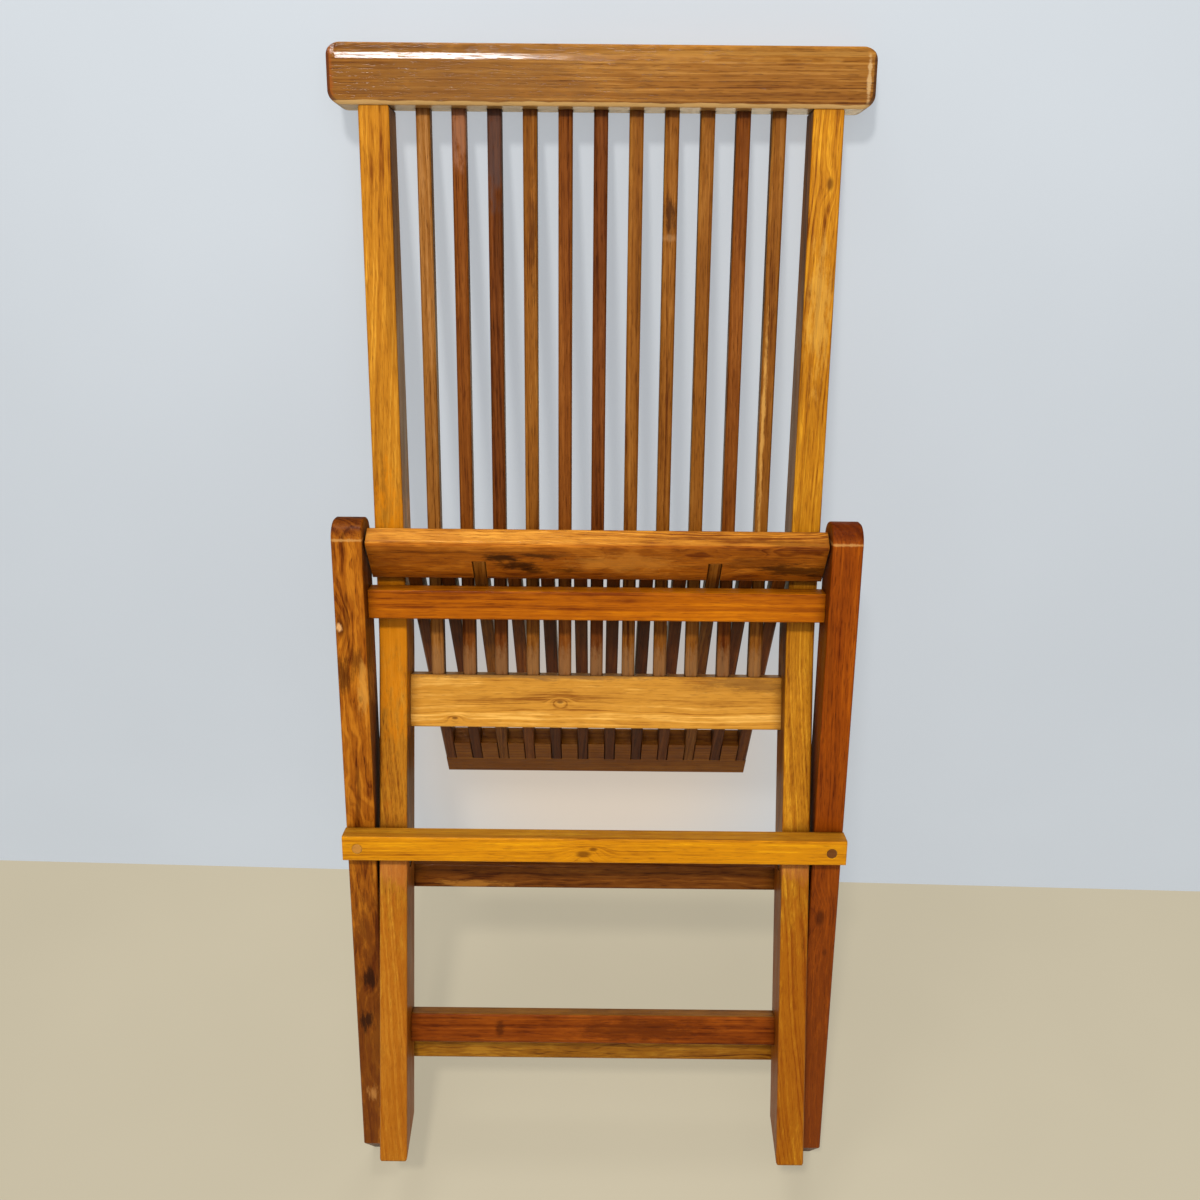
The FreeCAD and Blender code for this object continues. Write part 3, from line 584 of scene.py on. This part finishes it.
def teak(name, mid, seed, flank=None, ends=0.6, ease=EDGE_REACH, coat=0.06, coat_ior=1.5,
         edge_glint_and_wear=0.5, facets=(), knots=(), stains_and_highlights=(), bands=(), **grain):
    """Oiled teak for one board.

    mid is the tone of its broad faces, and flank that of its narrow ones, painted lighter or darker
    for the light and shade that fall on them. ends is the share of light that its end grain keeps,
    ease the radius by which its edges look rounded, and edge_glint_and_wear how strongly they
    are painted pale, as rubbed wear and as painted highlight. grain changes values of GRAIN.
    """
    material, g, shader = new_material(f"teak_{name}")
    middle, axes = board_frame(NODES[name])
    length, across = axes.col[0], axes.col[1]
    place = board_place(g, middle, axes)
    facing = g.add("ShaderNodeTexCoord", output="Normal")

    push, heart = add_knots(g, place, knots)
    colour, height = draw_grain(g, place, push, mid, seed, grain)
    if knots:
        heart = g.math("MULTIPLY", heart, HEART_STRENGTH)
        colour = g.mix(heart, colour, scaled_tone(mid, HEART_SHARE))
    # Painted light and shade on the narrow faces.
    if flank:
        colour = paint_flank_light_and_shade(g, colour, facing, across, mid, flank)
    # Stains, and painted highlights on some boards.
    if stains_and_highlights:
        colour = add_stains_and_highlights(g, place, colour, stains_and_highlights)
    if bands:
        colour = add_bands(g, place, colour, bands)
    colour = darken_ends(g, colour, facing, length, ends)
    # Painted shade, with grime, in joints, recesses and narrow gaps.
    colour = shade_and_grime_creases(g, colour)

    normal = g.add("ShaderNodeBevel", {"Radius": ease}, samples=4)
    if facets:
        normal = add_facets(g, place, normal, facets)
    # Pale edges: rubbed wear and painted highlight.
    colour = paint_edge_glint_and_wear(g, place, colour, normal, mid, edge_glint_and_wear)
    polish(g, shader, place, colour, height, normal, coat, coat_ior)
    dress(NODES[name], material)


# The back frame.

def dress_crest():
    """A polished board, planed along its top front edge, with painted light on its pale lower edge.
    """
    teak("crest_rail", (140, 88, 25), seed=1.7, flank=(190, 122, 40), ease=0.003, coat=0.85,
         coat_ior=1.8, facets=CREST_FACETS, Rings=420.0, Slope=0.003, Wander=0.004,
         stains_and_highlights=[(0.0, 0.0262, 0.40, 0.0050, (196, 130, 44), 0.7),
                 (-0.12, 0.0, 0.15, 0.05, (118, 78, 34), 0.5),
                 (-0.2235, 0.0, 0.0040, 0.06, (146, 76, 20), 0.8),
                 (0.219, 0.0, 0.0018, 0.022, (214, 176, 120), 0.6),
                 (0.202, -0.026, 0.006, 0.004, (60, 36, 16), 0.8)],
         # Painted light: the lower edge and the underside are painted pale, as if lit from the front.
         bands=[(-0.0300, -0.0210, (222, 178, 108), 0.75)])


def dress_stiles():
    """Golden at the top and browner below, with a pale pinkish patch between that is a painted
    highlight.
    """
    teak("left_stile", (178, 114, 24), seed=2.3, flank=(126, 78, 20), Slope=0.012, Contrast=0.65,
         Pores=0.45, Wander=0.018,
         stains_and_highlights=[(0.03, 0.0, 0.12, 0.05, (210, 126, 4), 0.7),
                 # A pale patch: painted highlight.
                 (-0.205, 0.0, 0.024, 0.05, (208, 130, 68), 0.5),
                 (-0.40, 0.0, 0.24, 0.06, (168, 88, 12), 0.55)])
    teak("right_stile", (180, 115, 18), seed=3.9, flank=(126, 74, 16), Slope=0.010, Pores=0.4,
         Wander=0.012,
         knots=[(0.406, 0.004, 0.0042)],
         stains_and_highlights=[(0.30, 0.0, 0.06, 0.01, (212, 160, 66), 0.5),
                 # A pale patch: painted highlight.
                 (-0.197, 0.0, 0.020, 0.05, (208, 136, 78), 0.5),
                 (-0.38, 0.0, 0.22, 0.06, (150, 74, 4), 0.6)])


# The slats were sawn from odd boards, from pale to dark. The seat slats' darker tones
# also hold painted shade.
HONEY = (140, 88, 32)
AMBER = (129, 76, 20)
CHESTNUT = (116, 61, 14)
RUSSET = (100, 50, 12)
UMBER = (86, 40, 7)

BACK_SLAT_TONES = [
    HONEY, CHESTNUT, RUSSET, AMBER, CHESTNUT, RUSSET, AMBER, AMBER, AMBER, CHESTNUT, AMBER,
]
# Darker seat slats also stand for painted shade where they lie in shadow.
SEAT_SLAT_TONES_AND_SHADE = [
    RUSSET, UMBER, AMBER, CHESTNUT, UMBER, RUSSET, UMBER, UMBER, RUSSET, AMBER, RUSSET, CHESTNUT,
]
# Painted shade on the slats' narrow faces.
SLAT_FLANK_SHADE_SHARE = 0.75

# A slat's seed, which gives it its own grain, is the row's seed and as many steps as its number.
BACK_SLAT_SEED = 4.0
BACK_SLAT_STEP = 1.37
SEAT_SLAT_SEED = 36.0
SEAT_SLAT_STEP = 1.19

# The dusty wood where the back slats enter the lower back rail, the marks on some, and a painted
# sheen on the top of slat 3.
SLAT_DUST = (-0.240, 0.0, 0.024, 0.04, (156, 116, 74), 0.45)
BACK_SLAT_MARKS_AND_SHEEN = {
    2: [(0.235, 0.0, 0.030, 0.02, (176, 124, 92), 0.4)],
    # A grey painted sheen at the top of slat 3.
    3: [(0.225, 0.0, 0.060, 0.03, (72, 62, 60), 0.55)],
    4: [(0.150, 0.002, 0.050, 0.003, (84, 44, 8), 0.7)],
    8: [(0.165, 0.0, 0.022, 0.006, (54, 24, 6), 0.8),
        (0.148, 0.0, 0.004, 0.03, (170, 124, 76), 0.4)],
    11: [(-0.02, -0.003, 0.09, 0.002, (214, 160, 80), 0.6)],
}


def slat_flank_shade(mid):
    """Painted shade: a slat is darker on the faces that look at its neighbours, which shade them."""
    return tuple(value * SLAT_FLANK_SHADE_SHARE for value in mid)


def dress_back_slats():
    for number, mid in enumerate(BACK_SLAT_TONES, start=1):
        teak(f"back_slat_{number:02d}", mid, seed=BACK_SLAT_SEED + BACK_SLAT_STEP * number,
             flank=slat_flank_shade(mid), Streaks=0.35,
             stains_and_highlights=[SLAT_DUST, *BACK_SLAT_MARKS_AND_SHEEN.get(number, [])])


def dress_back_rails():
    """The pale lower back rail, and the reddish stretcher near the stiles' feet."""
    teak("lower_back_rail", (205, 142, 48), seed=21.3, flank=(166, 112, 50), Pith=(0, 0.02, 0.08),
         Rings=420.0, Contrast=0.7, Streaks=0.1, Pores=0.35,
         knots=[(-0.1335, -0.0164, 0.0022), (-0.034, 0.0, 0.0026)],
         stains_and_highlights=[(-0.06, 0.0245, 0.14, 0.004, (128, 92, 52), 0.7),
                 (0.145, 0.019, 0.050, 0.009, (128, 84, 34), 0.6)])
    teak("front_stretcher", (128, 58, 6), seed=22.9, flank=(130, 76, 20), Mottle=1.4, Streaks=0.4,
         stains_and_highlights=[(0.05, 0.0, 0.07, 0.012, (84, 34, 3), 0.6),
                 (-0.09, 0.0, 0.004, 0.008, (70, 28, 3), 0.7)])


# The leg frame. A pale line, a painted highlight, crosses each leg where its round top begins.

# Painted highlight where the round top begins.
LEG_HIGHLIGHT_LINE = (0.326, 0.0, 0.0014, 0.05, (206, 152, 84), 0.6)

# Dark wood round knots and in flames.
DUSKY = (70, 30, 3)
CHARRED = (40, 14, 2)


def dress_legs():
    """The left leg is flamed and knotty, the right one redder and more even."""
    teak("left_leg", (154, 84, 12), seed=24.1, flank=(112, 60, 12), ends=0.45, Wander=0.045,
         Streaks=0.5, Contrast=1.0, Mottle=1.6, Rings=270.0, Pith=(0, 0.02, 0.07),
         knots=[(0.247, -0.009, 0.0060), (0.180, 0.006, 0.003)],
         stains_and_highlights=[LEG_HIGHLIGHT_LINE,
                 (0.247, -0.010, 0.004, 0.003, (222, 166, 104), 0.9),
                 (0.203, -0.009, 0.020, 0.010, DUSKY, 0.75),
                 (0.215, 0.004, 0.016, 0.006, DUSKY, 0.6),
                 (0.188, 0.009, 0.026, 0.006, (212, 148, 60), 0.6),
                 (-0.20, 0.0, 0.22, 0.05, (100, 46, 5), 0.7),
                 (-0.109, 0.001, 0.012, 0.007, CHARRED, 0.85),
                 (-0.155, -0.003, 0.013, 0.008, CHARRED, 0.85),
                 (-0.239, -0.002, 0.011, 0.005, (196, 134, 66), 0.8)])
    teak("right_leg", (138, 62, 4), seed=25.7, flank=(108, 48, 6), ends=0.5, Wander=0.016,
         knots=[(-0.037, -0.0025, 0.0068), (-0.074, 0.004, 0.0028)],
         stains_and_highlights=[LEG_HIGHLIGHT_LINE, (-0.24, 0.0, 0.20, 0.05, (112, 48, 3), 0.6)])


def dress_leg_rails():
    teak("upper_leg_rail", (168, 88, 3), seed=26.9, flank=(192, 112, 24), Slope=0.003, Pores=0.4)
    teak("rear_stretcher", (148, 92, 16), seed=28.3, Mottle=1.6, Streaks=0.6, Wander=0.035,
         Pith=(0, 0.02, 0.06))


def dress_bars():
    """The two bars that stop the opening, and their pegs: pale on the left, dark on the right."""
    teak("front_bar", (208, 134, 9), seed=29.9, flank=(168, 110, 38), Contrast=0.6, Pores=0.4,
         Streaks=0.1,
         knots=[(-0.010, -0.003, 0.0052), (-0.001, 0.002, 0.0030)])
    teak("rear_bar", (112, 60, 12), seed=31.1, Mottle=1.4, Streaks=0.6, Wander=0.035,
         Pith=(0, 0.02, 0.06),
         stains_and_highlights=[(-0.122, -0.008, 0.036, 0.005, (176, 116, 42), 0.7)])
    for name in ("front_bar_pegs", "rear_bar_pegs"):
        teak(name, (150, 98, 44), seed=32.7, ends=1.0,
             stains_and_highlights=[(-0.217, 0.0, 0.02, 0.02, (196, 132, 50), 0.9),
                     (0.217, 0.0, 0.02, 0.02, (104, 58, 22), 0.9)])


# The seat hangs with its underside towards the viewer, its front rail at the top.

def dress_seat_rails():
    """The front rail has dark flames left of its middle and at its right end."""
    # Its golden top strip is painted light, and its edges are painted pale as wear and highlight.
    teak("seat_front_rail", (162, 88, 16), seed=34.3, flank=(188, 117, 30), edge_glint_and_wear=1.0,
         Wander=0.045, Streaks=0.5, Contrast=0.85, Mottle=1.3, Pith=(0, 0.02, 0.07),
         stains_and_highlights=[(-0.190, -0.004, 0.018, 0.016, (120, 58, 8), 0.6),
                 (-0.084, 0.006, 0.018, 0.006, (46, 20, 3), 0.9),
                 (-0.068, -0.005, 0.018, 0.007, CHARRED, 0.9),
                 (-0.058, -0.013, 0.018, 0.005, CHARRED, 0.8),
                 (-0.048, 0.009, 0.020, 0.004, (52, 24, 4), 0.75),
                 (-0.030, -0.011, 0.020, 0.004, (60, 28, 4), 0.75),
                 (-0.008, 0.004, 0.012, 0.003, (92, 46, 8), 0.6),
                 (0.030, -0.009, 0.014, 0.003, (92, 46, 8), 0.6),
                 (0.022, 0.0, 0.050, 0.014, (206, 132, 46), 0.6),
                 (0.140, 0.002, 0.040, 0.010, (104, 52, 8), 0.6),
                 (0.178, -0.008, 0.040, 0.010, (48, 22, 4), 0.75)])
    teak("seat_rear_rail", (132, 74, 12), seed=51.3)


def dress_seat_slats():
    for number, mid in enumerate(SEAT_SLAT_TONES_AND_SHADE, start=1):
        teak(f"seat_slat_{number:02d}", mid, seed=SEAT_SLAT_SEED + SEAT_SLAT_STEP * number,
             flank=slat_flank_shade(mid))


# Hardware.

STEEL = (182, 180, 176)
BRASS = (190, 158, 88)
METAL_NOISE = (260.0, 260.0, 260.0)
METAL_DULLING = (0.8, 0.8, 0.8)
METAL_ROUGHENING = 0.2


def metal(name, colour, roughness):
    """Plated steel or brass, dulled and faintly mottled."""
    material, g, shader = new_material(f"metal_{name}")
    place = g.add("ShaderNodeTexCoord", output="Object")
    dull = g.between(g.noise(place, METAL_NOISE, detail=3.0), *PATCH_LIMITS)
    g.fill(shader, {
        "Base Color": g.mix(dull, tone(*colour), scaled_tone(colour, METAL_DULLING)),
        "Roughness": g.math("MULTIPLY_ADD", dull, METAL_ROUGHENING, roughness),
        "Metallic": 1.0,
    })
    dress(NODES[name], material)


def dress_hardware():
    for name in ("pivot_bolts", "pivot_nuts", "seat_hinge_pins"):
        metal(name, STEEL, roughness=0.28)
    metal("pivot_washers", BRASS, roughness=0.32)


# Stage: a pale floor, and the wall that the chair leans on.

FLOOR_REACH = 6.0
WALL_HEIGHT = 2.6
WALL_TURN = 1.2
FLOOR_TONE = (199, 189, 164)
WALL_TONE = (206, 213, 220)
GLOW = 0.6

# Broad clouds make the floor and the wall slightly paler in places.
CLOUD_NOISE = (2.0, 2.0, 2.0)
CLOUD_LIMITS = (-0.2, 0.2)
CLOUD_SHARE = (1.02, 1.02, 1.02)

# The warm light that the chair throws back on the wall behind it. Its limits are shares of
# its half width and half height.
WARM_TONE = (234, 217, 196)
WARM_STRENGTH = 0.8
WARM_MIDDLE = Vector((0.0, 0.0, 0.20))
WARM_HALF_WIDTH = 0.34
WARM_HALF_HEIGHT = 0.36
WARM_LIMITS = (1.0, 0.2)


def warm_patch(g, place, colour):
    """Tints the wall behind the chair. The patch has no depth, so the wall may slant."""
    step = g.vector("SUBTRACT", place, WARM_MIDDLE)
    step = g.vector("MULTIPLY", step, (1 / WARM_HALF_WIDTH, 0.0, 1 / WARM_HALF_HEIGHT))
    mask = g.between(g.length(step), *WARM_LIMITS, end=WARM_STRENGTH)
    return g.mix(mask, colour, tone(*WARM_TONE))


def see_through_behind(g, surface):
    """Leaves a surface clear from behind, so that it doesn't hide the chair's back."""
    behind = g.add("ShaderNodeNewGeometry", output="Backfacing")
    clear = g.add("ShaderNodeBsdfTransparent")
    return g.add("ShaderNodeMixShader", {0: behind, 1: surface, 2: clear})


def stage_material(name, colour, is_wall=False):
    """A matt surface. To the camera a share of it glows, which keeps shadows on it light."""
    material, g, shader = new_material(name)
    place = g.add("ShaderNodeTexCoord", output="Object")
    cloud = g.between(g.noise(place, CLOUD_NOISE, detail=3.0), *CLOUD_LIMITS)
    shown = g.mix(cloud, tone(*colour), scaled_tone(colour, CLOUD_SHARE))
    if is_wall:
        shown = warm_patch(g, place, shown)
    g.fill(shader, {"Base Color": shown, "Roughness": 0.8, "Specular IOR Level": 0.2})
    seen = g.add("ShaderNodeLightPath", output="Is Camera Ray")
    light = g.add("ShaderNodeEmission", {"Color": shown})
    surface = g.add("ShaderNodeMixShader", {
        0: g.math("MULTIPLY", seen, GLOW),
        1: shader.outputs[0],
        2: light,
    })
    if is_wall:
        surface = see_through_behind(g, surface)
    g.join(surface, g.tree.nodes["Material Output"].inputs["Surface"])
    return material


def stage_plane(name, corners, material, lights_chair=True):
    mesh = bpy.data.meshes.new(name)
    mesh.from_pydata(corners, [], [(0, 1, 2, 3)])
    mesh.materials.append(material)
    plane = bpy.data.objects.new(name, mesh)
    scene.collection.objects.link(plane)
    plane.visible_diffuse = lights_chair
    plane.visible_glossy = lights_chair
    plane.visible_shadow = lights_chair


def build_stage():
    """The wall neither lights nor shades the chair, so the rear lamp reaches its back."""
    reach = FLOOR_REACH
    floor = [(-reach, -reach, 0), (reach, -reach, 0), (reach, reach, 0), (-reach, reach, 0)]
    stage_plane("floor", floor, stage_material("pale_floor", FLOOR_TONE))
    high = CAD_BOX[1]
    slope = math.tan(math.radians(WALL_TURN))
    left = high.y + (high.x + reach) * slope
    right = high.y + (high.x - reach) * slope
    foot = [(-reach, left, 0), (reach, right, 0)]
    top = [(reach, right, WALL_HEIGHT), (-reach, left, WALL_HEIGHT)]
    wall_material = stage_material("pale_wall", WALL_TONE, is_wall=True)
    stage_plane("wall", foot + top, wall_material, lights_chair=False)


# Light: a small high lamp in front and a broad one behind it, a ceiling lamp, a lamp behind
# the wall for the chair's back, and a pale room all round.

LIT_POINT = Vector((0.0, 0.12, 0.75))
WARM_WHITE = (1.0, 0.96, 0.90)
PLAIN_WHITE = (1.0, 1.0, 1.0)
COOL_WHITE = (0.97, 0.98, 1.0)

# The room's strength: as light, as the camera sees it, and as polished wood mirrors it.
ROOM_TONE = (0.92, 0.94, 1.0, 1.0)
ROOM_LIGHT = 0.36
ROOM_SEEN = 0.8
ROOM_MIRRORED = 0.06


def area_lamp(name, place, size, power, colour, mirrored=True):
    """A round lamp that faces the chair. Polished wood mirrors it or not."""
    data = bpy.data.lights.new(name, "AREA")
    data.shape = "DISK"
    data.size = size
    data.energy = power
    data.color = colour
    lamp = bpy.data.objects.new(name, data)
    lamp.location = place
    lamp.visible_glossy = mirrored
    lamp.rotation_euler = (LIT_POINT - Vector(place)).to_track_quat("-Z", "Y").to_euler()
    scene.collection.objects.link(lamp)


def add_lamps():
    area_lamp("key", (-0.20, -1.23, 2.06), size=0.16, power=25, colour=WARM_WHITE, mirrored=False)
    area_lamp("fill", (0.10, -1.60, 1.75), size=1.3, power=12, colour=COOL_WHITE, mirrored=False)
    area_lamp("ceiling", (-0.32, 0.06, 2.25), size=0.4, power=8, colour=PLAIN_WHITE)
    area_lamp("rear", (0.70, 2.30, 0.85), size=1.5, power=26, colour=COOL_WHITE, mirrored=False)


def add_room():
    world = bpy.data.worlds.new("room")
    scene.world = world
    world.use_nodes = True
    g = Graph(world.node_tree)
    mirrored = g.add("ShaderNodeLightPath", output="Is Glossy Ray")
    seen = g.add("ShaderNodeLightPath", output="Is Camera Ray")
    strength = g.math("MULTIPLY_ADD", mirrored, ROOM_MIRRORED - ROOM_LIGHT, ROOM_LIGHT)
    strength = g.math("MULTIPLY_ADD", seen, ROOM_SEEN - ROOM_LIGHT, strength)
    g.fill(world.node_tree.nodes["Background"], {"Color": ROOM_TONE, "Strength": strength})


GRAIN_GROUP = grain_group()
add_camera()
dress_crest()
dress_stiles()
dress_back_slats()
dress_back_rails()
dress_legs()
dress_leg_rails()
dress_bars()
dress_seat_rails()
dress_seat_slats()
dress_hardware()
build_stage()
add_lamps()
add_room()
